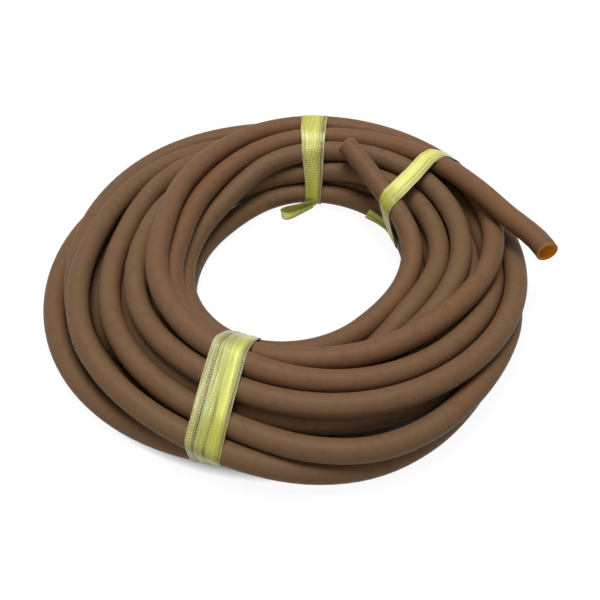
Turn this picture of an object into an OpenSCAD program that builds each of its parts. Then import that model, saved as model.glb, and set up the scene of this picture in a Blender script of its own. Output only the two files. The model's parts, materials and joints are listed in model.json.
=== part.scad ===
// Coil of rubber tubing: one long hollow tube laid in loose turns and held by three ties of plastic tape.
// The origin is under the middle of the coil, on the surface that it lies on, with Z up.

/* [Tube] */
// Outside diameter of the tube
tube_od = 16; // [13:0.5:20]
// Thickness of the tube's wall
wall_t = 2; // [1.5:0.1:3.5]
// Depth of the straight round bore at each cut end
bore_depth = 20; // [10:1:24]

/* [Coil] */
// Clear width inside the innermost turn
coil_hole = 141; // [120:1:220]
// Room that neighbouring turns are laid with
turn_clearance = 0.9; // [0.6:0.1:1.8]

/* [Ties] */
// Thickness of the tape
tape_t = 0.4; // [0.3:0.1:0.8]
// Room between the tape and the tube
tape_clearance = 0.5; // [0.4:0.1:0.8]
// Height of the lengthwise pleats that stand up from the tape
pleat_h = 0.5; // [0.2:0.1:0.8]
// Width of the front tie
front_tie_w = 22; // [14:1:26]
// Width of the back tie over the turns
back_tie_w = 23; // [14:1:26]
// Width of the back tie where it is gathered inside the coil
back_tie_gather_w = 13; // [8:1:18]
// Width of the spare loop of tape on the back tie
back_loop_w = 9; // [6:1:12]
// Width of the right tie
right_tie_w = 13.5; // [9:0.5:18]
// Width of the cut tail of tape on the right tie
right_tail_w = 6.5; // [4:0.5:9]

/* [Hidden] */

rubber_colour = [0.50, 0.40, 0.32];
tape_colour = [0.83, 0.84, 0.42];

// The lay of the turns. Each row is one turn, clockwise seen from above, with a place at every station.
// Places are in tube diameters: outward from the innermost turn, and up from a turn that lies flat.
// The last row is the loose end that runs out over the turns, and its last place only steers it.
lay_out_shares = [
    [3.4, 1.3, 0.9, 0.4, 0.4, 0.6, 0.4, 0.2, 0.7],
    [2.5, 3.4, 3.1, 2.0, 1.6, 1.6, 1.5, 1.25, 1.2],
    [2.0, 2.5, 2.1, 1.1, 1.0, 0.4, 0.3, 0.1, 0.5],
    [1.8, 1.9, 1.1, 1.1, 2.3, 3.7, 4.8, 5.3, 5.8],
    [5.5, 5.5, 5.0, 4.75, 4.0, 2.9, 2.4, 2.0, 2.9],
    [3.8, 3.9, 3.3, 4.4, 4.3, 3.4, 2.9, 2.5, 2.4],
    [2.8, 2.9, 2.0, 2.5, 4.15, 5.2, 6.0, 6.2, 5.8],
    [5.7, 5.8, 4.75, 4.9, 5.5, 4.2, 3.6, 3.2, 3.8],
    [3.5, 3.7, 3.6, 3.0, 2.6, 2.4, 3.8, 4.35, 4.5],
    [4.7, 4.9, 4.0, 4.8, 5.5, 5.1, 5.0, 4.5, 4.9],
    [4.5, 4.6, 4.5, 3.8, 3.0, 2.1, 1.3, 0.9, 2.2],
    [4.7, 5.3, 4.6, 2.9, 2.1, 1.45, 0.85, 0.35, 1.3],
    [3.5, 4.15, 5.05, 9.4]];
lay_up_shares = [
    [2.9, 2.1, 1.4, 1.0, 0.9, 0.9, 0.9, 0.9, 1.2],
    [1.8, 1.9, 1.6, 1.3, 0.8, 0.8, 0.6, 0.2, 0.6],
    [1.0, 1.6, 1.5, 1.4, 0.2, 0.0, 0.0, 0.0, 0.0],
    [0.0, 0.1, 0.3, 0.0, 0.0, 0.0, 0.2, 0.8, 0.8],
    [0.9, 0.9, 0.9, 1.6, 1.8, 2.0, 1.9, 1.9, 1.1],
    [0.0, 0.0, 0.0, 0.0, 0.95, 1.0, 0.8, 0.5, 0.0],
    [0.0, 0.15, 0.25, 0.0, 0.0, 0.0, 0.0, 0.0, 0.0],
    [0.0, 0.0, 0.0, 0.6, 0.9, 1.2, 1.3, 1.3, 1.3],
    [0.8, 0.9, 0.9, 0.95, 0.9, 0.3, 0.0, 0.1, 0.1],
    [0.0, 0.1, 0.1, 0.0, 0.0, 1.0, 1.4, 1.5, 1.2],
    [0.9, 0.9, 0.8, 1.6, 2.0, 2.4, 2.6, 2.7, 2.5],
    [1.9, 1.6, 1.6, 2.1, 2.3, 2.0, 1.8, 1.9, 2.0],
    [1.9, 2.3, 2.9, 2.7]];

// Angle of the first station, from the right and anticlockwise seen from above
lay_azimuth = 88;
station_step = 40;
rings_per_station = 3;
ring_step = station_step / rings_per_station;
rings_per_turn = 360 / ring_step;
// The inner end is cut between the rings 1 and 2, and its straight stretch ends at ring 3
first_ring = 1;
cut_ring = 1.5;
straight_ring = 3;

// How the turns settle: each round pushes turns that are too close apart and spreads the push along the tube
settle_rounds = 80;
push_share = 0.4;
spread_share = 0.3;
return_share = 0.01;

// Sides of the tube's outer and inner wall, and the part of the bore that the inner wall reaches
outer_sides = 10;
inner_sides = 6;
duct_share = 0.97;
overrun = 1;

tube_id = tube_od - 2 * wall_t;
innermost_r = (coil_hole + tube_od) / 2;
lift = tape_clearance + tape_t;
lowest_z = lift + tube_od / 2;
pitch = tube_od + turn_clearance;

function sum(list) = [for (item = list) 1] * list;
function unit(v) = v / norm(v);
function clamped(list, i) = list[max(0, min(len(list) - 1, i))];

// Smooth curve through the points of a list, at the point number t
function curve(list, t) =
    let(i = floor(t), f = t - i)
    let(a = clamped(list, i - 1), b = clamped(list, i), c = clamped(list, i + 1), d = clamped(list, i + 2))
    b + f / 2 * (c - a + f * (2 * a - 5 * b + 4 * c - d + f * (3 * (b - c) + d - a)));

// A place in the coil's section, as a radius and a height
function place(out, up) = [innermost_r + out * tube_od, lowest_z + up * tube_od];
function point(azimuth, place) = [place.x * cos(azimuth), place.x * sin(azimuth), place.y];

stations = [
    for (turn = [0 : len(lay_out_shares) - 1])
        for (i = [0 : len(lay_out_shares[turn]) - 1])
            place(lay_out_shares[turn][i], lay_up_shares[turn][i])];
last_ring = rings_per_station * (len(stations) - 2) + 1;
laid = [for (ring = [first_ring : last_ring]) curve(stations, ring / rings_per_station)];
last = len(laid) - 1;

// How far the tube moves outward and up for each step along it
function lean(places, i) =
    let(a = max(0, i - 1), b = min(last, i + 1))
    (places[b] - places[a]) / ((b - a) * places[i].x * ring_step * PI / 180);

// Push on a turn by a neighbour that is too close, from how far apart they are and how much they lean
function push(apart, leaning) =
    let(gap = sqrt(apart * apart - pow(apart * leaning, 2) / (1 + leaning * leaning)))
    gap < pitch ? unit(apart) * (pitch - gap) : [0, 0];

function settle_round(shift) =
    let(now = laid + shift, leans = [for (i = [0 : last]) lean(now, i)])
    [for (i = [0 : last])
        let(
            pushes = [for (j = [i % rings_per_turn : rings_per_turn : last])
                if (j != i) push(now[i] - now[j], (leans[i] + leans[j]) / 2)],
            spread = i == 0 || i == last ? [0, 0] : (shift[i - 1] + shift[i + 1]) / 2 - shift[i],
            moved = (1 - return_share) * shift[i] + spread_share * spread + push_share * sum(pushes))
        [moved.x, max(moved.y, lowest_z - laid[i].y)]];

function settled(shift, rounds) = rounds == 0 ? laid + shift : settled(settle_round(shift), rounds - 1);

places = settled([for (p = laid) [0, 0]], settle_rounds);

function ring_azimuth(ring) = lay_azimuth - ring * ring_step;
function ring_point(ring) = point(ring_azimuth(ring), places[ring - first_ring]);
function along(ring) =
    let(i = min(floor(ring), last_ring - 1), f = ring - i)
    (1 - f) * ring_point(i) + f * ring_point(i + 1);

// The tube

tube_path = [along(cut_ring), for (ring = [straight_ring : last_ring]) ring_point(ring)];
tube_end = len(tube_path) - 1;

function tube_ring(i) =
    let(
        ahead = unit(clamped(tube_path, i + 1) - clamped(tube_path, i - 1)),
        side = unit(cross(ahead, [0, 0, 1])),
        top = cross(side, ahead),
        inner_r = duct_share * tube_id / 2)
    [for (wall = [[outer_sides, tube_od / 2], [inner_sides, inner_r]])
        for (k = [0 : wall[0] - 1])
            tube_path[i] + wall[1] * (cos(360 * k / wall[0]) * side + sin(360 * k / wall[0]) * top)];

tube_points = [for (i = [0 : tube_end]) each tube_ring(i)];
ring_size = outer_sides + inner_sides;

function quad(a, b, c, d) = [[a, b, c], [a, c, d]];
function flipped(faces) = [for (face = faces) [face[2], face[1], face[0]]];

// Wall of one ring of sides between two rings of points
function wall_faces(start, sides) =
    [for (i = [0 : tube_end - 1], k = [0 : sides - 1])
        let(a = i * ring_size + start, b = a + ring_size, next = (k + 1) % sides)
        each quad(a + k, b + k, b + next, a + next)];

// Cut face between the outer and the inner wall
function cut_faces(ring) =
    let(
        outer = ring * ring_size,
        inner = outer + outer_sides,
        facing = [for (k = [-1 : outer_sides - 1]) floor((k + 0.5) * inner_sides / outer_sides + 0.5)])
    [for (k = [0 : outer_sides - 1])
        let(here = inner + facing[k + 1] % inner_sides, before = inner + facing[k] % inner_sides)
        each [
            [outer + k, outer + (k + 1) % outer_sides, here],
            if (here != before) [outer + k, here, before]]];

tube_faces = concat(
    wall_faces(0, outer_sides),
    flipped(wall_faces(outer_sides, inner_sides)),
    cut_faces(0),
    flipped(cut_faces(tube_end)));

// The middle of the coil's outline, which is set over the origin
function middle(values) = (min(values) + max(values)) / 2;
coil_middle = [middle([for (p = tube_points) p.x]), middle([for (p = tube_points) p.y]), 0];

module along_axis(start, ahead) {
    translate(start)
        rotate([0, acos(ahead.z), atan2(ahead.y, ahead.x)])
            children();
}

// Round bore that runs into the tube from a cut end
module end_bore(end, inward) {
    along_axis(end - overrun * inward, inward)
        cylinder(h = bore_depth + overrun, d = tube_id, $fn = 48);
}

module tubing() {
    color(rubber_colour)
        translate(-coil_middle)
            difference() {
                polyhedron(tube_points, tube_faces);
                end_bore(tube_path[0], unit(tube_path[1] - tube_path[0]));
                end_bore(tube_path[tube_end], unit(tube_path[tube_end - 1] - tube_path[tube_end]));
            }
}

// The ties

// Angles round the bundle of turns: 0 outside the coil, 90 on top, 180 inside the coil, 270 below.
// The tape starts inside the coil, passes below, outside and on top, and ends over its own start.
wrap_start = 187.5;
wrap_end = 577.5;
wrap_step = 15;
// Stretch on top and inside in which the tape climbs over its own start
climb_start = 470;
climb_end = 540;
layer_h = tape_t + pleat_h + tape_clearance;

// Places across the tape, in tape widths, with a pleat at every second one
across_shares = [-0.5, -0.35, -0.2, 0, 0.2, 0.35, 0.5];
across_count = len(across_shares);
function pleat(k) = k % 2 * pleat_h;

// Value at an angle round the bundle, from its values outside, on top, inside and below
function round_value(four, angle) =
    let(quarter = (angle % 360) / 90, i = floor(quarter), f = (1 - cos(180 * (quarter - i))) / 2)
    (1 - f) * four[i] + f * four[(i + 1) % 4];

// Places of all turns at an azimuth, each moved along the tube by a length
function bundle(azimuth, offset) =
    let(first = (lay_azimuth - azimuth + 360) / ring_step % rings_per_turn)
    [for (ring = [first : rings_per_turn : last_ring])
        if (ring > straight_ring)
            let(chord = norm(along(ring + 0.5) - along(ring - 0.5)))
            along(min(ring + offset / chord, last_ring))];

// Distance of a tight tape from the coil's axis line, at an angle round the bundle
function support(list, outward, angle) =
    max([for (p = list) p * (cos(angle) * outward + sin(angle) * [0, 0, 1])]);

// Corner of the tape between two directions round the bundle, at a height over the tube's surface
function wrap_corner(azimuth, offset, angle, height) =
    let(
        outward = [cos(azimuth), sin(azimuth), 0],
        list = bundle(azimuth, offset),
        a = angle - wrap_step / 2,
        b = angle + wrap_step / 2,
        reach_a = support(list, outward, a) + tube_od / 2 + height,
        reach_b = support(list, outward, b) + tube_od / 2 + height,
        out = (reach_a * sin(b) - reach_b * sin(a)) / sin(wrap_step),
        up = (reach_b * cos(a) - reach_a * cos(b)) / sin(wrap_step))
    out * outward + up * [0, 0, 1] + offset * [outward.y, -outward.x, 0];

// Outline across the tape where it lies on the bundle
function wrap_outline(azimuths, widths, angle) =
    let(
        azimuth = round_value(azimuths, angle),
        width = round_value(widths, angle),
        climb = max(0, min(1, (angle - climb_start) / (climb_end - climb_start))),
        under = tape_clearance + layer_h * climb,
        stand = (1 + sin(angle)) / 2)
    concat(
        [for (k = [0 : across_count - 1])
            wrap_corner(azimuth, across_shares[k] * width, angle, under + tape_t + stand * pleat(k))],
        [for (k = [across_count - 1 : -1 : 0])
            wrap_corner(azimuth, across_shares[k] * width, angle, under)]);

// Outline across a free stretch of tape, which stands on edge and leans towards the turns
function free_outline(path, i, width, lean_angle) =
    let(
        ahead = unit(clamped(path, i + 1) - clamped(path, i - 1)),
        outward = unit([path[i].x, path[i].y, 0]),
        down = -(cos(lean_angle) * outward + sin(lean_angle) * [0, 0, 1]),
        face = unit(cross(ahead, down)))
    concat(
        [for (k = [0 : across_count - 1])
            path[i] + across_shares[k] * width * down + (tape_t / 2 + pleat(k)) * face],
        [for (k = [across_count - 1 : -1 : 0])
            path[i] + across_shares[k] * width * down - tape_t / 2 * face]);

// One length of tape through a row of outlines
module tape(outlines) {
    size = 2 * across_count;
    end = len(outlines) - 1;
    sides = [for (i = [0 : end - 1], k = [0 : size - 1])
        let(a = i * size, b = a + size, next = (k + 1) % size)
        each quad(a + k, a + next, b + next, b + k)];
    cut = [for (k = [0 : across_count - 2]) each quad(k, size - 1 - k, size - 2 - k, k + 1)];
    far_cut = [for (face = flipped(cut)) [for (k = face) end * size + k]];
    color(tape_colour)
        translate(-coil_middle)
            polyhedron([for (outline = outlines) each outline], concat(sides, cut, far_cut));
}

function wrap(azimuths, widths) =
    [for (angle = [wrap_start : wrap_step : wrap_end]) wrap_outline(azimuths, widths, angle)];

function free_tape(azimuths, out_shares, up_shares, width, lean_angle) =
    let(path = [for (i = [0 : len(azimuths) - 1]) point(azimuths[i], place(out_shares[i], up_shares[i]))])
    [for (i = [0 : len(path) - 1]) free_outline(path, i, width, lean_angle)];

// Azimuths of each tie outside the coil, on top of it, inside it and below it
front_tie_azimuths = [251, 252, 250, 250];
back_tie_azimuths = [83, 82, 80, 82];
right_tie_azimuths = [40, 38, 33, 36];

// The spare loop of the back tie lies inside the coil, runs back along the turns and folds over
back_loop_azimuths = [84, 90, 96, 98, 96, 90, 84];
back_loop_out_shares = [0.8, 0.7, 0.55, 0.4, 0.2, 0.3, 0.5];
back_loop_up_shares = [-0.2, -0.2, -0.2, -0.2, -0.2, -0.2, -0.2];
back_loop_lean = 55;

// The cut tail of the right tie lies along the inside of the innermost turns
right_tail_azimuths = [37, 42, 47, 52];
right_tail_out_shares = [0.6, 0.7, 0.8, 0.85];
right_tail_up_shares = [0.0, 0.05, 0.1, 0.15];
right_tail_lean = 65;

module front_tie() {
    tape(wrap(front_tie_azimuths, front_tie_w * [1, 1, 1, 1]));
}

module back_tie() {
    widths = [back_tie_w, back_tie_w, back_tie_gather_w, back_tie_gather_w];
    loop = free_tape(
        back_loop_azimuths, back_loop_out_shares, back_loop_up_shares, back_loop_w, back_loop_lean);
    tape(concat(wrap(back_tie_azimuths, widths), loop));
}

module right_tie() {
    tail = free_tape(
        right_tail_azimuths, right_tail_out_shares, right_tail_up_shares, right_tail_w, right_tail_lean);
    tape(concat(wrap(right_tie_azimuths, right_tie_w * [1, 1, 1, 1]), tail));
}

tubing();
front_tie();
back_tie();
right_tie();
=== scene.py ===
import json
import math

import bpy
import numpy as np
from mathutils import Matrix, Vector


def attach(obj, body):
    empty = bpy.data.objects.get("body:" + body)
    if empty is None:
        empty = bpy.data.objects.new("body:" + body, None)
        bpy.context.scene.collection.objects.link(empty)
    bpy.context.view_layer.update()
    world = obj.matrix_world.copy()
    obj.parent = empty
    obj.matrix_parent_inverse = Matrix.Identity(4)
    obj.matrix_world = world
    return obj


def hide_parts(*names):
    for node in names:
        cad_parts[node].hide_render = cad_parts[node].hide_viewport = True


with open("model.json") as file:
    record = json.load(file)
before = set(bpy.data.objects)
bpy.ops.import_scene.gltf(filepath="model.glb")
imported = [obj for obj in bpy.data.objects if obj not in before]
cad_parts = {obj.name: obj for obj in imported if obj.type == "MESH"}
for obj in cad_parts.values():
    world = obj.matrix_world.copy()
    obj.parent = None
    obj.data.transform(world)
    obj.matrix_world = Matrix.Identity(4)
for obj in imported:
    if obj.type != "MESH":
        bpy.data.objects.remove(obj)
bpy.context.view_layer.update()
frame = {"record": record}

# Driving sizes, in metres
TUBE_OD = 0.016
TUBE_ID = 0.012
COIL_HOLE = 0.141
TURN_CLEARANCE = 0.0009
TAPE_T = 0.0004
TAPE_CLEARANCE = 0.0005
BORE_DEPTH = 0.020

INNERMOST_R = (COIL_HOLE + TUBE_OD) / 2
LOWEST_Z = TAPE_CLEARANCE + TAPE_T + TUBE_OD / 2
PITCH = TUBE_OD + TURN_CLEARANCE

# The lay of the turns, one row for each turn, clockwise seen from above, with a place at every station.
# Places are in tube diameters: outward from the innermost turn, and up from a turn that lies flat.
LAY_OUT_SHARES = [
    [3.4, 1.3, 0.9, 0.4, 0.4, 0.6, 0.4, 0.2, 0.7],
    [2.5, 3.4, 3.1, 2.0, 1.6, 1.6, 1.5, 1.25, 1.2],
    [2.0, 2.5, 2.1, 1.1, 1.0, 0.4, 0.3, 0.1, 0.5],
    [1.8, 1.9, 1.1, 1.1, 2.3, 3.7, 4.8, 5.3, 5.8],
    [5.5, 5.5, 5.0, 4.75, 4.0, 2.9, 2.4, 2.0, 2.9],
    [3.8, 3.9, 3.3, 4.4, 4.3, 3.4, 2.9, 2.5, 2.4],
    [2.8, 2.9, 2.0, 2.5, 4.15, 5.2, 6.0, 6.2, 5.8],
    [5.7, 5.8, 4.75, 4.9, 5.5, 4.2, 3.6, 3.2, 3.8],
    [3.5, 3.7, 3.6, 3.0, 2.6, 2.4, 3.8, 4.35, 4.5],
    [4.7, 4.9, 4.0, 4.8, 5.5, 5.1, 5.0, 4.5, 4.9],
    [4.5, 4.6, 4.5, 3.8, 3.0, 2.1, 1.3, 0.9, 2.2],
    [4.7, 5.3, 4.6, 2.9, 2.1, 1.45, 0.85, 0.35, 1.3],
    [3.5, 4.15, 5.05, 9.4]]
LAY_UP_SHARES = [
    [2.9, 2.1, 1.4, 1.0, 0.9, 0.9, 0.9, 0.9, 1.2],
    [1.8, 1.9, 1.6, 1.3, 0.8, 0.8, 0.6, 0.2, 0.6],
    [1.0, 1.6, 1.5, 1.4, 0.2, 0.0, 0.0, 0.0, 0.0],
    [0.0, 0.1, 0.3, 0.0, 0.0, 0.0, 0.2, 0.8, 0.8],
    [0.9, 0.9, 0.9, 1.6, 1.8, 2.0, 1.9, 1.9, 1.1],
    [0.0, 0.0, 0.0, 0.0, 0.95, 1.0, 0.8, 0.5, 0.0],
    [0.0, 0.15, 0.25, 0.0, 0.0, 0.0, 0.0, 0.0, 0.0],
    [0.0, 0.0, 0.0, 0.6, 0.9, 1.2, 1.3, 1.3, 1.3],
    [0.8, 0.9, 0.9, 0.95, 0.9, 0.3, 0.0, 0.1, 0.1],
    [0.0, 0.1, 0.1, 0.0, 0.0, 1.0, 1.4, 1.5, 1.2],
    [0.9, 0.9, 0.8, 1.6, 2.0, 2.4, 2.6, 2.7, 2.5],
    [1.9, 1.6, 1.6, 2.1, 2.3, 2.0, 1.8, 1.9, 2.0],
    [1.9, 2.3, 2.9, 2.7]]

# Rings are even steps of the lay. The tube's ends lie between its first two and its last two stations
LAY_AZIMUTH = 88.0
STATION_STEP = 40.0
RINGS_PER_STATION = 3
RING_STEP = STATION_STEP / RINGS_PER_STATION
RINGS_PER_TURN = 27
FIRST_RING = 1
CUT_RING = 1.5

# Shares by which each round of settling pushes turns apart, spreads the push along the tube and undoes it
SETTLE_ROUNDS = 80
PUSH_SHARE = 0.4
SPREAD_SHARE = 0.3
RETURN_SHARE = 0.01


def curve(points, t):
    """Smooth curve through the rows of points, at the row numbers t."""
    t = np.asarray(t, float)
    i = np.floor(t).astype(int)
    f = (t - i)[:, None]
    a, b, c, d = (points[np.clip(i + k, 0, len(points) - 1)] for k in (-1, 0, 1, 2))
    return b + f / 2 * (c - a + f * (2 * a - 5 * b + 4 * c - d + f * (3 * (b - c) + d - a)))


def laid_places():
    """Radius and height of the tube's line at every ring, as first laid."""
    stations = np.array([
        [INNERMOST_R + out * TUBE_OD, LOWEST_Z + up * TUBE_OD]
        for outs, ups in zip(LAY_OUT_SHARES, LAY_UP_SHARES)
        for out, up in zip(outs, ups)])
    last_ring = RINGS_PER_STATION * (len(stations) - 2) + 1
    rings = np.arange(FIRST_RING, last_ring + 1)
    return curve(stations, rings / RINGS_PER_STATION)


def settled_places(laid):
    """The places after the turns that lie too close have pushed each other apart."""
    shift = np.zeros_like(laid)
    columns = np.arange(len(laid)) % RINGS_PER_TURN
    for _ in range(SETTLE_ROUNDS):
        now = laid + shift
        lean = np.gradient(now, axis=0) / (now[:, :1] * math.radians(RING_STEP))
        spread = np.zeros_like(shift)
        spread[1:-1] = (shift[:-2] + shift[2:]) / 2 - shift[1:-1]
        moved = (1 - RETURN_SHARE) * shift + SPREAD_SHARE * spread
        for column in range(RINGS_PER_TURN):
            turns = np.where(columns == column)[0]
            apart = now[turns][:, None] - now[turns][None]
            leaning = (lean[turns][:, None] + lean[turns][None]) / 2
            near = np.linalg.norm(apart, axis=2) + np.eye(len(turns))
            lost = np.sum(apart * leaning, axis=2) ** 2 / (1 + np.sum(leaning ** 2, axis=2))
            gap = np.sqrt(near ** 2 - lost)
            over = np.maximum(PITCH - gap, 0)
            moved[turns] += PUSH_SHARE * np.sum(apart * (over / near)[..., None], axis=1)
        moved[:, 1] = np.maximum(moved[:, 1], LOWEST_Z - laid[:, 1])
        shift = moved
    return laid + shift


PLACES = settled_places(laid_places())
LAST_RING = FIRST_RING + len(PLACES) - 1


def coil_point(azimuth, radius, height):
    """Points from azimuths in degrees, radii and heights."""
    angle = np.radians(azimuth)
    return np.stack([radius * np.cos(angle), radius * np.sin(angle), height + 0 * angle], axis=-1)


def line_points(rings):
    """Points of the tube's line at ring numbers, which may lie between rings."""
    rings = np.asarray(rings, float)
    radius, height = curve(PLACES, rings - FIRST_RING).T
    return coil_point(LAY_AZIMUTH - rings * RING_STEP, radius, height)


def run_along(line):
    """Length along a line up to each of its points."""
    return np.concatenate([[0], np.cumsum(np.linalg.norm(np.diff(line, axis=0), axis=1))])


def coil_middle():
    """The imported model's origin in the lay's own axes, from where that model has the outer end."""
    mounts = {mount["name"]: mount for mount in frame["record"]["mounts"]}
    bore = mounts["outer_end_bore"]
    mouth = np.array(bore["pos_m"]) + np.array(bore["axis"]) * BORE_DEPTH / 2
    middle = line_points([LAST_RING])[0] - mouth
    middle[2] = 0.0
    return middle


COIL_MIDDLE = coil_middle()


def mesh_piece(name, points, faces, material, attributes):
    """A smooth shaded mesh object, with named values on its points."""
    mesh = bpy.data.meshes.new(name)
    mesh.from_pydata([tuple(p) for p in points], [], [tuple(int(i) for i in f) for f in faces])
    for label, values in attributes.items():
        layer = mesh.attributes.new(label, "FLOAT", "POINT")
        layer.data.foreach_set("value", np.asarray(values, np.float32))
    mesh.polygons.foreach_set("use_smooth", [True] * len(mesh.polygons))
    mesh.materials.append(material)
    mesh.update()
    piece = bpy.data.objects.new(name, mesh)
    bpy.context.scene.collection.objects.link(piece)
    return piece


def grid_faces(rows, columns, closed):
    """Quads of a grid of points, row by row, closed across its rows and, if asked, from last row to first."""
    i = np.arange(rows if closed else rows - 1)[:, None]
    k = np.arange(columns)[None]
    below = (i + 1) % rows
    beside = (k + 1) % columns
    corners = [i * columns + k, below * columns + k, below * columns + beside, i * columns + beside]
    return np.stack(corners, axis=-1).reshape(-1, 4)


def frames(line):
    """Directions along a line, to its side and to its top."""
    ahead = np.gradient(line, axis=0)
    ahead /= np.linalg.norm(ahead, axis=1)[:, None]
    side = np.cross(ahead, [0, 0, 1])
    side /= np.linalg.norm(side, axis=1)[:, None]
    return ahead, side, np.cross(side, ahead)


# Materials

class Nodes:
    """Short calls for the nodes of a material or world."""

    def __init__(self, owner):
        self.owner = owner
        owner.use_nodes = True
        self.tree = owner.node_tree
        self.shader = self.tree.nodes.get("Principled BSDF")

    def add(self, kind, **settings):
        node = self.tree.nodes.new(kind)
        for key, value in settings.items():
            setattr(node, key, value)
        return node

    def link(self, source, target):
        self.tree.links.new(source, target)

    def put(self, socket, value):
        if isinstance(value, bpy.types.NodeSocket):
            self.link(value, socket)
        else:
            socket.default_value = value

    def attribute(self, label):
        return self.add("ShaderNodeAttribute", attribute_name=label).outputs["Fac"]

    def math(self, operation, a, b=0.0, clamp=False):
        node = self.add("ShaderNodeMath", operation=operation, use_clamp=clamp)
        self.put(node.inputs[0], a)
        self.put(node.inputs[1], b)
        return node.outputs[0]

    def times(self, a, b):
        return self.math("MULTIPLY", a, b)

    def over(self, value, least, gain):
        """How far a value is over a least one, times a gain, kept between 0 and 1."""
        return self.math("MULTIPLY", self.math("SUBTRACT", value, least), gain, True)

    def vector(self, x, y, z):
        node = self.add("ShaderNodeCombineXYZ")
        for socket, value in zip(node.inputs, (x, y, z)):
            self.put(socket, value)
        return node.outputs[0]

    def noise(self, vector, scale=1.0, detail=3.0, roughness=0.5):
        node = self.add("ShaderNodeTexNoise")
        self.put(node.inputs["Vector"], vector)
        node.inputs["Scale"].default_value = scale
        node.inputs["Detail"].default_value = detail
        node.inputs["Roughness"].default_value = roughness
        return node.outputs["Fac"]

    def ramp(self, factor, stops):
        node = self.add("ShaderNodeValToRGB")
        self.put(node.inputs["Fac"], factor)
        elements = node.color_ramp.elements
        while len(elements) < len(stops):
            elements.new(1.0)
        for element, (place, colour) in zip(elements, stops):
            element.position = place
            element.color = (*colour, 1.0)
        return node.outputs["Color"]

    def mix(self, factor, a, b):
        node = self.add("ShaderNodeMix", data_type="RGBA")
        self.put(node.inputs["Factor"], factor)
        self.put(node.inputs["A"], a if isinstance(a, bpy.types.NodeSocket) else (*a, 1.0))
        self.put(node.inputs["B"], b if isinstance(b, bpy.types.NodeSocket) else (*b, 1.0))
        return node.outputs["Result"]

    def bump(self, height, distance, strength):
        node = self.add("ShaderNodeBump")
        self.put(node.inputs["Height"], height)
        node.inputs["Distance"].default_value = distance
        node.inputs["Strength"].default_value = strength
        self.link(node.outputs["Normal"], self.shader.inputs["Normal"])

    def object_place(self):
        return self.add("ShaderNodeTexCoord").outputs["Object"]

    def distance(self, middle):
        node = self.add("ShaderNodeVectorMath", operation="DISTANCE")
        self.link(self.object_place(), node.inputs[0])
        node.inputs[1].default_value = middle
        return node.outputs["Value"]

    def seen(self):
        """1 for what the camera sees, directly or mirrored, and 0 for light on its way."""
        paths = self.add("ShaderNodeLightPath")
        mirrored = self.math("MAXIMUM", paths.outputs["Is Glossy Ray"], paths.outputs["Is Transmission Ray"])
        return self.math("MAXIMUM", paths.outputs["Is Camera Ray"], mirrored)


def linear(*rgb):
    """A colour as seen on the screen, from 0 to 255, as a shader takes it."""
    return tuple(
        c / 12.92 if c <= 0.04045 else ((c + 0.055) / 1.055) ** 2.4
        for c in (value / 255 for value in rgb))


OLIVE_BROWN = linear(105, 82, 57)
RED_BROWN = linear(112, 79, 54)
DRIFT_BROWN = linear(92, 71, 52)
SPECK_BROWN = linear(82, 60, 43)
MOTTLE_BROWN = linear(78, 58, 42)
# The bore's amber: the rubber's own colour painted brighter, as light shining through the thin wall
THROUGH_LIT_AMBER = linear(196, 122, 14)
CUT_RUBBER = linear(146, 101, 64)
DRIFT_ALONG = 6.0
CLOUD_SHARE = 0.5
RUBBER_ROUGHNESS = 0.55
RUBBER_GLOSS = 0.14
# Strength of the painted glow in the bore near the cut ends
PAINTED_BORE_GLOW = 0.07


def rubber_material():
    """Matt amber rubber that turns more red or more olive along the tube, with dust and fine scuffs, and a
    bore painted brighter amber, glowing near the cut ends, as painted light shining through the wall.
    """
    n = Nodes(bpy.data.materials.new("amber_rubber"))
    place = n.object_place()
    cloud = n.noise(place, scale=38.0, detail=4.0, roughness=0.6)
    clouded = n.times(n.math("SUBTRACT", cloud, 0.5), CLOUD_SHARE)
    base = n.mix(n.math("ADD", n.attribute("tint"), clouded, True), OLIVE_BROWN, RED_BROWN)
    drift = n.noise(n.vector(n.times(n.attribute("along"), DRIFT_ALONG), 0.0, 0.0), detail=2.0)
    base = n.mix(n.over(drift, least=0.35, gain=0.4), base, DRIFT_BROWN)
    specks = n.noise(place, scale=900.0, detail=2.0, roughness=0.7)
    base = n.mix(n.over(specks, least=0.62, gain=1.2), base, SPECK_BROWN)
    mottle = n.noise(place, scale=160.0, detail=3.0, roughness=0.65)
    base = n.mix(n.over(mottle, least=0.5, gain=1.6), base, MOTTLE_BROWN)
    rim = n.mix(n.attribute("amber"), base, CUT_RUBBER)
    # Inside the bore, the rubber's amber painted brighter for light shining through the wall
    base = n.mix(n.attribute("inside"), rim, THROUGH_LIT_AMBER)
    n.link(base, n.shader.inputs["Base Color"])
    n.shader.inputs["Roughness"].default_value = RUBBER_ROUGHNESS
    n.shader.inputs["Specular IOR Level"].default_value = RUBBER_GLOSS
    # Painted glow: the bore near the cut ends emits amber light, standing in for light through the wall
    n.shader.inputs["Emission Color"].default_value = (*THROUGH_LIT_AMBER, 1.0)
    n.link(n.times(n.attribute("glow"), PAINTED_BORE_GLOW), n.shader.inputs["Emission Strength"])
    scuffs = n.noise(place, scale=700.0, detail=3.0, roughness=0.6)
    n.bump(scuffs, distance=0.00012, strength=0.35)
    return n.owner


# Painted shade: the film is darkened toward this olive where it runs low or faces down
PAINTED_SHADE_OLIVE = linear(138, 133, 26)
YELLOW_FILM = linear(228, 229, 116)
PALE_FILM = linear(222, 221, 172)
CLEAR_FILM = linear(134, 118, 84)
# Bright hairlines of the film, and its painted highlights and glints
BRIGHT_FILM_AND_HIGHLIGHT = linear(252, 251, 190)
# Painted shade in the grooves of the folds
PAINTED_FOLD_SHADE = linear(58, 52, 22)
DARK_DOT = linear(80, 74, 26)
DARK_LINE = linear(122, 118, 34)
FILM_ROUGHNESS = 0.28
FILM_GLOSS = 0.25
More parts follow.
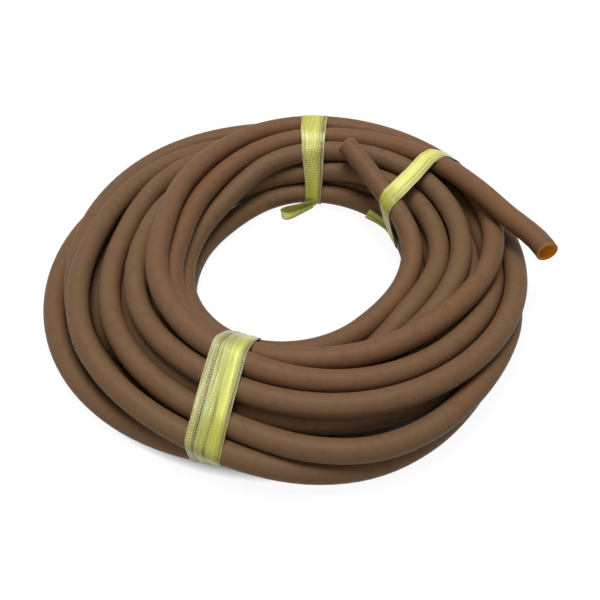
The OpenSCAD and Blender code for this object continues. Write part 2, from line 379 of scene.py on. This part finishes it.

# The film's pattern: stripes that wander, lines along it, dots in patches with painted glints between them,
# and beads in the painted shade of the folds
WANDER_ALONG = 28.0
WANDER_SHARE = 0.08
LINES_ACROSS = 16.0
LINES_ALONG = 18.0
LINES_BRIGHT = 0.53
LINES_DARK = 0.47
LINE_HEIGHT = 0.9
PATCH_ACROSS = 3.0
PATCH_ALONG = 30.0
PATCH_PLACE = 0.4
DOT_PITCH = 0.0015
DOT_UNEVEN = 0.25
DOT_R = 0.42
DOT_SHARE = 0.9
DOT_HEIGHT = -0.6
GLINT_R = 0.48
GLINT_SHARE = 0.6
BEAD_PITCH = 0.0018
BEAD_SHARE = 0.25
PATTERN_GAIN = 6.0


def tape_material(name, stripes):
    """Thin yellow-green plastic film, with stripes, fine lines along it and embossed dots, painted shade on
    its lower runs and in its folds, and painted highlights and glints.
    """
    n = Nodes(bpy.data.materials.new(name))
    across = n.attribute("across")
    along = n.attribute("along")
    spots = n.attribute("dots")
    wander = n.noise(n.vector(across, n.times(along, WANDER_ALONG), 0.0), detail=3.0, roughness=0.6)
    place = n.math("ADD", across, n.times(n.math("SUBTRACT", wander, 0.5), WANDER_SHARE))
    base = n.ramp(n.math("ADD", place, 0.5), stripes)
    line_place = n.vector(n.times(place, LINES_ACROSS), n.times(along, LINES_ALONG), 0.0)
    lines = n.noise(line_place, detail=4.0, roughness=0.75)
    base = n.mix(n.over(lines, LINES_BRIGHT, PATTERN_GAIN), base, BRIGHT_FILM_AND_HIGHLIGHT)
    base = n.mix(n.over(LINES_DARK, lines, PATTERN_GAIN), base, DARK_LINE)
    cells = n.add("ShaderNodeTexVoronoi", feature="F1")
    n.link(n.vector(n.attribute("side"), along, 0.0), cells.inputs["Vector"])
    cells.inputs["Scale"].default_value = 1 / DOT_PITCH
    cells.inputs["Randomness"].default_value = DOT_UNEVEN
    dot = n.over(DOT_R, cells.outputs["Distance"], PATTERN_GAIN)
    # Painted glints: bright specks between the embossed dots
    glint = n.over(cells.outputs["Distance"], GLINT_R, PATTERN_GAIN)
    patch_place = n.vector(n.times(across, PATCH_ACROSS), n.times(along, PATCH_ALONG), PATCH_PLACE)
    patch = n.over(n.noise(patch_place, detail=2.0), least=0.34, gain=3.5)
    dotted = n.times(n.times(dot, patch), spots)
    glinting = n.times(n.times(glint, patch), spots)
    # Painted shade: darker olive along the film's lower and downward-facing runs
    base = n.mix(n.attribute("shade"), base, PAINTED_SHADE_OLIVE)
    # Painted highlight: bands where the film bends toward the light are painted near white
    base = n.mix(n.attribute("painted_highlight"), base, BRIGHT_FILM_AND_HIGHLIGHT)
    # Painted glints mixed in between the dots
    base = n.mix(n.times(glinting, GLINT_SHARE), base, BRIGHT_FILM_AND_HIGHLIGHT)
    base = n.mix(n.times(dotted, DOT_SHARE), base, DARK_DOT)
    # Painted shade in the grooves, broken into beads along the film
    beads = n.math("SINE", n.times(along, 2 * math.pi / BEAD_PITCH))
    beaded_fold_shade = n.times(n.attribute("fold"), n.math("ADD", n.times(beads, BEAD_SHARE), 1 - BEAD_SHARE))
    base = n.mix(beaded_fold_shade, base, PAINTED_FOLD_SHADE)
    n.link(base, n.shader.inputs["Base Color"])
    n.shader.inputs["Roughness"].default_value = FILM_ROUGHNESS
    n.shader.inputs["Specular IOR Level"].default_value = FILM_GLOSS
    height = n.math("ADD", n.times(lines, LINE_HEIGHT), n.times(dotted, DOT_HEIGHT))
    n.bump(height, distance=0.0005, strength=0.7)
    return n.owner


# The tube

OUTER_SIDES = 32
RINGS_BETWEEN = 5
INNER_EVERY = 3
EDGE_ROUND = 0.0004
RIM_STEP = 1.5 * EDGE_ROUND
RIM_OUTER_SHARE = 0.2
RIM_INNER_SHARE = 0.6
CUT_REACH = 0.0014
CUT_AMBER = 0.8
# Length from each end over which the bore's painted glow fades out
PAINTED_GLOW_REACH = 0.030

# How red the rubber is on each turn, from olive to red brown
TURN_TINTS = [0.8, 0.3, 0.3, 0.45, 0.6, 0.25, 0.6, 0.6, 0.4, 0.4, 0.35, 0.9, 1.0]


def tubing(material):
    """The hollow tube along the whole lay, with both ends cut open."""
    rings = np.append(np.arange(CUT_RING, LAST_RING, 1 / RINGS_BETWEEN), LAST_RING)
    line = line_points(rings) - COIL_MIDDLE
    ahead, side, top = frames(line)
    run = run_along(line)
    outer_r, inner_r = TUBE_OD / 2, TUBE_ID / 2
    end = len(rings) - 1
    # Rows of the closed wall: index on the line, radius, step along the line and inside share
    rows = [(0, outer_r, EDGE_ROUND, 0.0), (0, outer_r, CUT_REACH, 0.0)]
    rows += [(i, outer_r, 0.0, 0.0) for i in range(1, end)]
    rows += [(end, outer_r, -CUT_REACH, 0.0), (end, outer_r, -EDGE_ROUND, 0.0)]
    rows += [(end, outer_r - EDGE_ROUND, 0.0, 0.0), (end, outer_r - RIM_STEP, 0.0, RIM_OUTER_SHARE)]
    rows += [(end, inner_r + EDGE_ROUND, 0.0, RIM_INNER_SHARE), (end, inner_r, -EDGE_ROUND, 1.0)]
    rows += [(i, inner_r, 0.0, 1.0) for i in range(end - INNER_EVERY, 0, -INNER_EVERY)]
    rows += [(0, inner_r, EDGE_ROUND, 1.0), (0, inner_r + EDGE_ROUND, 0.0, RIM_INNER_SHARE)]
    rows += [(0, outer_r - RIM_STEP, 0.0, RIM_OUTER_SHARE), (0, outer_r - EDGE_ROUND, 0.0, 0.0)]
    index, radius, step, inside = (np.array(column) for column in zip(*rows))
    turn = 2 * math.pi * np.arange(OUTER_SIDES)[:, None] / OUTER_SIDES
    spoke = np.cos(turn) * side[index][:, None] + np.sin(turn) * top[index][:, None]
    points = (line[index] + step[:, None] * ahead[index])[:, None] + radius[:, None, None] * spoke
    reached = run[index] + step
    from_end = np.minimum(reached, run[-1] - reached)
    turns = np.clip(rings[index] / RINGS_PER_TURN, 0, len(TURN_TINTS) - 1)
    looks = {
        "along": run[index],
        "tint": np.interp(turns, np.arange(len(TURN_TINTS)), TURN_TINTS),
        "amber": np.maximum((from_end < CUT_REACH / 2) * CUT_AMBER, (inside > 0) * 1.0),
        # glow is the painted glow inside the bore near each end
        "glow": inside * np.clip(1 - from_end / PAINTED_GLOW_REACH, 0, 1),
        "inside": inside}
    piece = mesh_piece(
        "tubing_coil", points.reshape(-1, 3), grid_faces(len(rows), OUTER_SIDES, True), material,
        {label: np.repeat(values, OUTER_SIDES) for label, values in looks.items()})
    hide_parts("tubing")
    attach(piece, "root")


# The ties

TAPE_COLUMNS = 41
TAPE_ROW_STEP = 0.0013
FILM_T = 0.0002
SHARP_ANGLE = math.radians(60)
# Angles round the middle of the bundle at which a tie's place and width are given: at its start inside
# the coil, below, outside, on top, at the inner edge of the top, inside and at its end
WRAP_ANCHORS = [187.5, 270.0, 360.0, 450.0, 508.0, 540.0, 577.5]
WRAP_SAMPLES = 300
WRAP_COLUMNS = 7
WRAP_ROUNDS = 3
EASE_ROUNDS = 2
STRIP_ROWS = 12
# Directions in which the reach of the turns is measured, and the least cosine at which one counts
FACING = np.radians(np.arange(0.0, 360.0, 1.5))
FACING_AXES = np.stack([np.cos(FACING), np.sin(FACING)])
LEAST_SLANT = 0.02
# Angles between which a tie's end climbs over its start, and how high
CLIMB = (508.0, 540.0)
LAYER_H = 0.0008
# The loose inner end, up to this ring, isn't held by the ties
LOOSE_RING = 3
# A groove this deep gets the full painted shade, and a fold fades over this share of the tape's length
GROOVE_H = 0.0002
FOLD_FADE = 0.08
# Folds wander and swell along the tape, each at its own rate
FOLD_RATE, FOLD_RATE_STEP, FOLD_START = 60, 17, 2.1
SWELL_RATE, SWELL_RATE_STEP, SWELL_SHARE = 95, 31, 0.25


def bundle(azimuth, offset):
    """Places of all turns at an azimuth, each moved along the tube by a length."""
    first = (LAY_AZIMUTH - azimuth + 360) / RING_STEP % RINGS_PER_TURN
    rings = np.arange(first, LAST_RING, RINGS_PER_TURN)
    rings = rings[rings > LOOSE_RING]
    chord = np.linalg.norm(line_points(rings + 0.5) - line_points(rings - 0.5), axis=1)
    points = line_points(np.minimum(rings + offset / chord, LAST_RING))
    outward = np.array([math.cos(math.radians(azimuth)), math.sin(math.radians(azimuth))])
    return np.stack([points[:, :2] @ outward, points[:, 2]], axis=1)


def wrap_point(azimuth, offset, angle):
    """Point of a tight tape round the bundle, seen from the bundle's middle at an angle."""
    middle = bundle(azimuth, 0.0).mean(axis=0)
    turns = bundle(azimuth, offset) - middle
    climb = np.clip((angle - CLIMB[0]) / (CLIMB[1] - CLIMB[0]), 0, 1)
    climb = climb * climb * (3 - 2 * climb)
    reach = np.max(turns @ FACING_AXES, axis=0) + TUBE_OD / 2 + TAPE_CLEARANCE + LAYER_H * climb
    slant = np.cos(FACING - math.radians(angle))
    ahead = slant > LEAST_SLANT
    far = np.min(reach[ahead] / slant[ahead])
    out = middle[0] + far * math.cos(math.radians(angle))
    up = max(middle[1] + far * math.sin(math.radians(angle)), FILM_T)
    turn = math.radians(azimuth)
    return [out * math.cos(turn) + offset * math.sin(turn), out * math.sin(turn) - offset * math.cos(turn), up]


def wrap_sheet(azimuths, widths):
    """Points of a tape round the bundle, row by row, from its azimuths and widths at the anchors."""
    angles = np.linspace(WRAP_ANCHORS[0], WRAP_ANCHORS[-1], WRAP_SAMPLES)
    turns = np.interp(angles, WRAP_ANCHORS, azimuths)
    for _ in range(WRAP_ROUNDS):
        run = run_along(np.array([wrap_point(turn, 0.0, angle) for turn, angle in zip(turns, angles)]))
        anchor_runs = np.interp(WRAP_ANCHORS, angles, run)
        turns = np.interp(run, anchor_runs, azimuths)
    even = np.linspace(0, run[-1], int(run[-1] / TAPE_ROW_STEP))
    rows = zip(np.interp(even, run, turns), np.interp(even, run, angles), np.interp(even, anchor_runs, widths))
    shares = np.linspace(-0.5, 0.5, WRAP_COLUMNS)
    fine = np.linspace(-0.5, 0.5, TAPE_COLUMNS)
    sheet = []
    for turn, angle, width in rows:
        across = np.array([wrap_point(turn, share * width, angle) for share in shares])
        sheet.append(np.stack([np.interp(fine, shares, column) for column in across.T], axis=1))
    sheet = np.array(sheet)
    for _ in range(EASE_ROUNDS):
        sheet[1:-1] = sheet[:-2] / 4 + sheet[1:-1] / 2 + sheet[2:] / 4
    return sheet


def strip_sheet(upper, lower):
    """Points of a free strip of tape between two edges, each a row of azimuths, out and up shares."""
    edges = []
    for places in (upper, lower):
        path = np.array([
            coil_point(azimuth, INNERMOST_R + out * TUBE_OD, LOWEST_Z + up * TUBE_OD)
            for azimuth, out, up in places])
        steps = len(path) - 1
        edges.append(curve(path, np.linspace(0, steps, STRIP_ROWS * steps + 1)))
    fine = np.linspace(0, 1, TAPE_COLUMNS)[None, :, None]
    return (1 - fine) * edges[0][:, None] + fine * edges[1][:, None]


def sheet_normals(sheet):
    """Directions square to a sheet of points."""
    normal = np.cross(np.gradient(sheet, axis=0), np.gradient(sheet, axis=1))
    return normal / np.linalg.norm(normal, axis=2)[..., None]


def pleated(sheet, folds):
    """A sheet raised in lengthwise ridges and grooves, how deep in a groove each point is, which sets its
    painted shade, and its normals.

    A fold has a place across the tape, a half width, a height, a wander and, if it ends early, its part.
    """
    rows, columns = sheet.shape[:2]
    fine = np.linspace(-0.5, 0.5, columns)[None]
    run = np.arange(rows)[:, None] * TAPE_ROW_STEP
    reach = np.linspace(0, 1, rows)[:, None]
    rise = np.zeros((rows, columns))
    deep = np.zeros((rows, columns))
    for index, (share, half, height, wander, *part) in enumerate(folds):
        start, stop = part or (0, 1)
        held = np.clip(1 + np.minimum(reach - start, stop - reach) / FOLD_FADE, 0, 1)
        middle = share + wander * np.sin(run * (FOLD_RATE + FOLD_RATE_STEP * index) + FOLD_START * index)
        swell = 1 - SWELL_SHARE + SWELL_SHARE * np.sin(run * (SWELL_RATE + SWELL_RATE_STEP * index) + index)
        bell = np.exp(-((fine - middle) / half) ** 2) * swell * held
        rise += height * bell
        # How deep in a groove, which sets the painted shade of the folds
        deep += np.clip(-height / GROOVE_H, 0, 1) * bell
    normal = sheet_normals(sheet)
    return sheet + rise[..., None] * normal, np.clip(deep, 0, 1), normal


def film_shell(sheet, folds):
    """A sheet of film as a closed thin shell, none of it below the floor: points, faces, groove depths."""
    rows, columns = sheet.shape[:2]
    top, deep, normal = pleated(sheet, folds)
    under = top - FILM_T * normal
    lift = np.maximum(-np.minimum(top[..., 2], under[..., 2]), 0.0)
    top[..., 2] += lift
    under[..., 2] += lift
    shell = np.concatenate([top, under[:, ::-1]], axis=1) - COIL_MIDDLE
    k = np.arange(columns - 1)
    near_end = np.stack([k, k + 1, 2 * columns - 2 - k, 2 * columns - 1 - k], axis=1)
    far_end = near_end[:, ::-1] + (rows - 1) * 2 * columns
    faces = np.concatenate([grid_faces(rows, 2 * columns, False), near_end, far_end])
    return shell.reshape(-1, 3), faces, np.concatenate([deep, deep[:, ::-1]], axis=1)


def film_values(sheet, width, looks):
    """Places across and along a film, and its painted shade, painted highlight and dots, on the points of its
    shell.

    Looks are pairs of a share of the film's length, or of its width for dots_across, and a value.
    """
    rows, columns = sheet.shape[:2]
    fine = np.linspace(-0.5, 0.5, columns)
    both = np.concatenate([fine, fine[::-1]])
    each = np.ones(2 * columns)
    layers = {
        "across": np.outer(np.ones(rows), both),
        "side": np.outer(width * np.ones(rows), both),
        "along": np.outer(np.arange(rows) * TAPE_ROW_STEP, each)}
    for label in ("shade", "painted_highlight", "dots"):
        places, values = zip(*looks.get(label, [(0, 0.0)]))
        layers[label] = np.outer(np.interp(np.linspace(0, 1, rows), places, values), each)
    places, values = zip(*looks.get("dots_across", [(0, 1.0)]))
    layers["dots"] = layers["dots"] * np.interp(both + 0.5, places, values)
    return layers


def tape_tie(node, material, strips):
    """One tie of one or more strips of film, each with its sheet, folds, width and looks."""
    points, faces, values = [], [], {}
    for sheet, folds, width, looks in strips:
        start = sum(len(block) for block in points)
        shell, quads, deep = film_shell(sheet, folds)
        points.append(shell)
        faces.append(start + quads)
        layers = film_values(sheet, width, looks)
        # fold is how deep in a groove each point is, which sets the painted shade there
        layers["fold"] = deep
        for label, layer in layers.items():
            values.setdefault(label, []).append(layer.ravel())
    piece = mesh_piece(
        node + "_film", np.concatenate(points), np.concatenate(faces), material,
        {label: np.concatenate(blocks) for label, blocks in values.items()})
    piece.data.set_sharp_from_angle(angle=SHARP_ANGLE)
    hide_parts(node)
    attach(piece, "root")


def front_tie():
    """The wide tie at the front, with a light yellow stripe and two folds darkened with painted shade."""
    width = 0.024
    sheet = wrap_sheet(
        [248, 252, 251.9, 250.7, 249.3, 248, 248],
        [0.018, 0.022, width, 0.0245, 0.021, 0.016, 0.015])
    folds = [
        (0.27, 0.036, -0.0002, 0.008), (0.40, 0.06, 0.0003, 0.01), (0.14, 0.07, 0.0004, 0.015),
        (-0.05, 0.035, -0.0002, 0.020, 0.0, 0.55), (0.10, 0.012, -0.0001, 0.015),
        (-0.24, 0.09, 0.0005, 0.012), (-0.44, 0.025, -0.00012, 0.008), (-0.49, 0.02, 0.0001, 0.0)]
    stripes = [
        (0.00, linear(170, 164, 122)), (0.06, CLEAR_FILM), (0.13, linear(190, 189, 112)),
        (0.20, YELLOW_FILM), (0.34, linear(214, 217, 114)), (0.46, linear(194, 197, 106)),
        (0.58, linear(202, 204, 130)), (0.70, linear(206, 206, 138)), (0.80, linear(178, 176, 122)),
        (0.88, linear(198, 196, 146)), (1.00, linear(196, 194, 146))]
    # Painted shade along the tie, darker on its lower runs
    looks = {
        "shade": [
            (0, 0.6), (0.36, 0.6), (0.505, 0.62), (0.53, 0.45), (0.55, 0.05), (0.68, 0.1), (0.74, 0.4),
            (1, 0.5)],
        "dots": [(0, 0.3), (0.36, 0.5), (0.48, 0.9), (0.6, 1.0), (0.72, 0.7), (1, 0.5)],
        "dots_across": [
            (0, 0.5), (0.10, 0.6), (0.18, 0.1), (0.42, 0.15), (0.58, 0.4), (0.7, 0.45), (0.8, 0.9),
            (1, 0.9)]}
    tape_tie("front_tie", tape_material("front_film", stripes), [(sheet, folds, width, looks)])


def back_tie():
    """The tie at the back, dotted on top and gathered inside, with its folded loop of spare tape."""
    width = 0.0235
    sheet = wrap_sheet(
        [80, 82, 83.8, 83.0, 81.4, 80.2, 79.5],
        [0.012, 0.016, width, 0.021, 0.017, 0.014, 0.010])
    folds = [
        (0.40, 0.025, -0.00014, 0.008), (0.26, 0.03, -0.00012, 0.012), (-0.05, 0.12, 0.0004, 0.02),
        (-0.33, 0.08, 0.0003, 0.01), (-0.46, 0.03, 0.0002, 0.0), (0.48, 0.02, 0.0003, 0.0)]
    stripes = [
        (0.00, linear(176, 173, 104)), (0.10, linear(186, 185, 96)), (0.35, linear(204, 203, 92)),
        (0.60, linear(216, 214, 94)), (0.76, linear(204, 201, 94)), (0.82, linear(160, 151, 84)),
        (0.88, CLEAR_FILM), (0.96, CLEAR_FILM), (1.00, PALE_FILM)]
    # Painted shade along the tie, darker on its lower runs, and a band of painted highlight
    looks = {
        "shade": [
            (0, 0.5), (0.55, 0.3), (0.63, 0.25), (0.67, 0.1), (0.72, 0.0), (0.8, 0.1), (0.85, 0.45),
            (0.9, 0.6), (1, 0.6)],
        "painted_highlight": [(0.67, 0.0), (0.69, 0.4), (0.71, 0.4), (0.735, 0.0)],
        "dots": [(0, 0.3), (0.55, 0.3), (0.66, 0.4), (0.70, 1.0), (0.82, 1.0), (0.88, 0.2), (1, 0)]}
    loop_width = 0.007
    loop = strip_sheet(
        [(78.0, 1.20, 0.10), (86.2, 0.78, 0.0), (93.2, 0.55, 0.0), (96.9, 0.36, -0.02),
         (95.8, 0.18, -0.06), (91.7, 0.22, -0.15), (86.0, 0.46, -0.20), (79.5, 1.05, -0.20)],
        [(78.5, 1.15, -0.33), (86.2, 0.72, -0.42), (92.5, 0.48, -0.46), (96.2, 0.26, -0.49),
         (94.3, 0.05, -0.49), (91.0, 0.12, -0.49), (86.6, 0.42, -0.49), (79.8, 1.03, -0.43)])
    loop_folds = [(0.1, 0.05, -0.00012, 0.01), (-0.2, 0.1, 0.0002, 0.01)]
    # Painted shade over most of the loop, and a little painted highlight where it comes round to the front
    loop_looks = {
        "shade": [(0, 0.8), (0.42, 0.75), (0.52, 0.1), (0.7, 0.0), (1, 0.6)],
        "painted_highlight": [(0.48, 0.0), (0.54, 0.3), (0.64, 0.2), (0.72, 0.0)]}
    tape_tie("back_tie", tape_material("back_film", stripes), [
        (sheet, folds, width, looks), (loop, loop_folds, loop_width, loop_looks)])


def right_tie():
    """The narrow tie at the right, smooth and pale yellow, with a band of painted highlight, and its short cut
    tail.
    """
    width = 0.0155
    sheet = wrap_sheet(
        [28, 31, 38.5, 40, 35.4, 32, 25.5],
        [0.010, 0.012, width, width, 0.0145, 0.0140, 0.010])
    folds = [
        (0.14, 0.030, -0.00006, 0.012), (0.33, 0.03, -0.00008, 0.010), (-0.15, 0.15, 0.0003, 0.02),
        (-0.46, 0.03, 0.0002, 0.0), (0.46, 0.03, 0.0002, 0.0)]
    stripes = [
        (0.00, linear(184, 181, 112)), (0.06, linear(200, 198, 100)), (0.30, linear(218, 217, 104)),
        (0.50, linear(220, 219, 110)), (0.62, linear(190, 188, 84)), (0.74, linear(198, 196, 102)),
        (0.88, linear(170, 167, 94)), (1.00, linear(180, 177, 118))]
    # Painted shade along the tie, darker on its lower runs, and a band of painted highlight
    looks = {
        "shade": [
            (0, 0.5), (0.45, 0.3), (0.54, 0.25), (0.6, 0.1), (0.66, 0.0), (0.75, 0.0), (0.785, 0.65),
            (0.82, 0.55), (0.86, 0.35), (1, 0.6)],
        "painted_highlight": [(0.6, 0.0), (0.68, 0.15), (0.74, 0.15), (0.78, 0.0)]}
    tail_width = 0.0065
    tail = strip_sheet(
        [(28, 0.75, 0.40), (36, 1.02, 0.50), (43, 1.12, 0.50), (49.8, 1.20, 0.48)],
        [(28, 0.70, 0.20), (36, 0.88, 0.16), (43, 0.92, 0.10), (51.0, 0.96, 0.0)])
    tail_folds = [(0.02, 0.12, -0.00018, 0.06), (-0.38, 0.06, 0.0003, 0.0), (0.34, 0.06, -0.0001, 0.04)]
    # Painted shade on the tail, lighter toward its cut end
    tail_looks = {"shade": [(0, 0.5), (0.8, 0.4), (0.94, 0.3), (1, 0.0)]}
    tape_tie("right_tie", tape_material("right_film", stripes), [
        (sheet, folds, width, looks), (tail, tail_folds, tail_width, tail_looks)])


# Floor, light and camera

CAMERA_ELEVATION = 47.0
CAMERA_PLACE = (0.0052, -0.4348, 0.4523)
CAMERA_LENS = 48.9

# The floor under the turns, which only shows dark between them, and the open floor inside the coil
UNDER_COIL_MIDDLE = (-0.008, 0.005, 0.0)
UNDER_COIL_R = 0.166
OPEN_MIDDLE = (0.005, 0.020, 0.0)
OPEN_R = 0.086
FLOOR_FADE = 0.009
FLOOR_HALF = 6.0
FLOOR_GREY = 0.62
FLOOR_ROUGHNESS = 0.9
FLOOR_WHITE = 1.06
FLOOR_WHITE_SHARE = 0.88
SURROUND_LIGHT = 0.2


def floor():
    """A plain pale floor that shows white to the camera and keeps the shadow."""
    n = Nodes(bpy.data.materials.new("pale_floor"))
    n.shader.inputs["Base Color"].default_value = (FLOOR_GREY, FLOOR_GREY, FLOOR_GREY, 1.0)
    n.shader.inputs["Roughness"].default_value = FLOOR_ROUGHNESS
    glow = n.add("ShaderNodeEmission")
    glow.inputs["Strength"].default_value = FLOOR_WHITE
    blend = n.add("ShaderNodeMixShader")
    outside = n.math("SUBTRACT", n.distance(UNDER_COIL_MIDDLE), UNDER_COIL_R)
    inside = n.math("SUBTRACT", OPEN_R + FLOOR_FADE, n.distance(OPEN_MIDDLE))
    clear = n.math("DIVIDE", n.math("MAXIMUM", outside, inside), FLOOR_FADE, True)
    n.link(n.times(n.times(n.seen(), clear), FLOOR_WHITE_SHARE), blend.inputs["Fac"])
    n.link(n.shader.outputs["BSDF"], blend.inputs[1])
    n.link(glow.outputs["Emission"], blend.inputs[2])
    n.link(blend.outputs["Shader"], n.tree.nodes["Material Output"].inputs["Surface"])
    mesh = bpy.data.meshes.new("floor")
    corners = [(-1, -1), (1, -1), (1, 1), (-1, 1)]
    mesh.from_pydata([(x * FLOOR_HALF, y * FLOOR_HALF, 0) for x, y in corners], [], [(0, 1, 2, 3)])
    mesh.materials.append(n.owner)
    piece = bpy.data.objects.new("floor", mesh)
    bpy.context.scene.collection.objects.link(piece)


def area_light(name, place, size, power):
    """A square soft light at a place, turned to the origin."""
    lamp = bpy.data.lights.new(name, "AREA")
    lamp.size = size
    lamp.energy = power
    piece = bpy.data.objects.new(name, lamp)
    piece.location = place
    piece.rotation_euler = (Vector((0, 0, 0)) - Vector(place)).to_track_quat("-Z", "Y").to_euler()
    bpy.context.scene.collection.objects.link(piece)


def studio():
    """Soft light from above and in front, in an even surround that shows white."""
    n = Nodes(bpy.data.worlds.new("surround"))
    bpy.context.scene.world = n.owner
    background = n.tree.nodes["Background"]
    background.inputs["Color"].default_value = (1.0, 1.0, 1.0, 1.0)
    shown = n.times(n.seen(), 1 - SURROUND_LIGHT)
    n.link(n.math("ADD", shown, SURROUND_LIGHT), background.inputs["Strength"])
    area_light("top_light", place=(0.0, 0.1, 1.6), size=0.8, power=25.0)
    area_light("front_light", place=(-0.5, -1.3, 1.0), size=0.9, power=3.5)


def camera():
    """The photograph's view, from the front and well above."""
    lens = bpy.data.cameras.new("camera")
    lens.lens = CAMERA_LENS
    piece = bpy.data.objects.new("camera", lens)
    piece.location = CAMERA_PLACE
    piece.rotation_euler = (math.radians(90.0 - CAMERA_ELEVATION), 0.0, 0.0)
    bpy.context.scene.collection.objects.link(piece)
    bpy.context.scene.camera = piece


bpy.context.scene.view_settings.view_transform = "Standard"
camera()
tubing(rubber_material())
front_tie()
back_tie()
right_tie()
floor()
studio()
